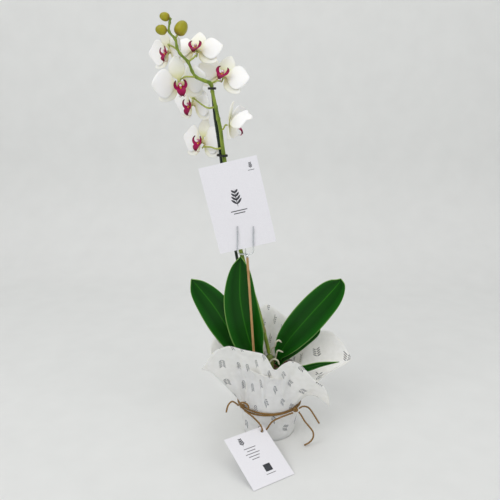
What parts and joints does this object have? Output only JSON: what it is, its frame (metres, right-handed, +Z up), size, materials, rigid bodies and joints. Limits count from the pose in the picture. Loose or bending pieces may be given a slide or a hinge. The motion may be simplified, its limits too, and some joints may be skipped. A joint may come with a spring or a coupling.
{
  "type": "potted orchid",
  "caption": "White moth orchid with magenta lips in a grow pot, wrapped in tissue tied with twine, with a gift card and hang tag.",
  "frame": {"origin": "on the surface the wrapped pot stands on, under the middle of the pot", "axes": "+Z up, the front with the hang tag towards -Y, +X to the right seen from the front"},
  "size_m": [0.3393, 0.2645, 0.7023],
  "materials": {
    "pot_plastic": "translucent grey nursery-pot polypropylene, satin",
    "bark": "loose damp pine bark chips, matte",
    "crown_tissue": "living plant tissue of the crown, dull waxy",
    "leaf": "thick living leaf, deep green, waxy gloss",
    "root": "aerial root skin, silvery cream, matte",
    "stem": "living flower stem and stalks, green, satin",
    "bud": "living flower bud, olive yellow, satin",
    "sepal": "living sepal, cream white, matte",
    "petal": "living petal, white, matte",
    "lip": "living lip and column, deep magenta, waxy",
    "stake_plastic": "dark green plastic-coated stake",
    "clip_plastic": "black moulded stem clip",
    "bamboo": "split bamboo stick, raw",
    "clear_plastic": "clear moulded card holder",
    "card": "uncoated white card, bare",
    "tissue": "thin off-white wrapping tissue",
    "twine": "golden-brown twisted twine"
  },
  "bodies": {
    "root": {"grow_pot": "pot_plastic", "bark_medium": "bark", "crown": "crown_tissue", "leaf_left": "leaf", "leaf_centre": "leaf", "leaf_right": "leaf", "leaf_lower_right": "leaf", "leaf_small": "leaf", "aerial_root_1": "root", "aerial_root_2": "root", "aerial_root_3": "root", "aerial_root_4": "root", "flower_stem": "stem", "stake": "stake_plastic", "stem_clip_lower": "clip_plastic", "stem_clip_upper": "clip_plastic", "flower_1_sepals": "sepal", "flower_1_petals": "petal", "flower_1_lip": "lip", "flower_2_sepals": "sepal", "flower_2_petals": "petal", "flower_2_lip": "lip", "flower_3_sepals": "sepal", "flower_3_petals": "petal", "flower_3_lip": "lip", "flower_4_sepals": "sepal", "flower_4_petals": "petal", "flower_4_lip": "lip", "flower_5_sepals": "sepal", "flower_5_petals": "petal", "flower_5_lip": "lip", "flower_6_sepals": "sepal", "flower_6_petals": "petal", "flower_6_lip": "lip", "flower_7_sepals": "sepal", "flower_7_petals": "petal", "flower_7_lip": "lip", "bud_1": "bud", "bud_2": "bud", "bud_3": "bud", "card_stick": "bamboo", "card_clip": "clear_plastic", "message_card": "card", "hang_tag": "card", "wrap_outer": "tissue", "wrap_inner": "tissue", "twine_band": "twine", "twine_knot_left": "twine", "twine_knot_right": "twine", "twine_tag_strand": "twine", "twine_tail_left": "twine", "twine_tail_long": "twine", "twine_tail_short": "twine", "twine_bow": "twine"}
  },
  "joints": []
}
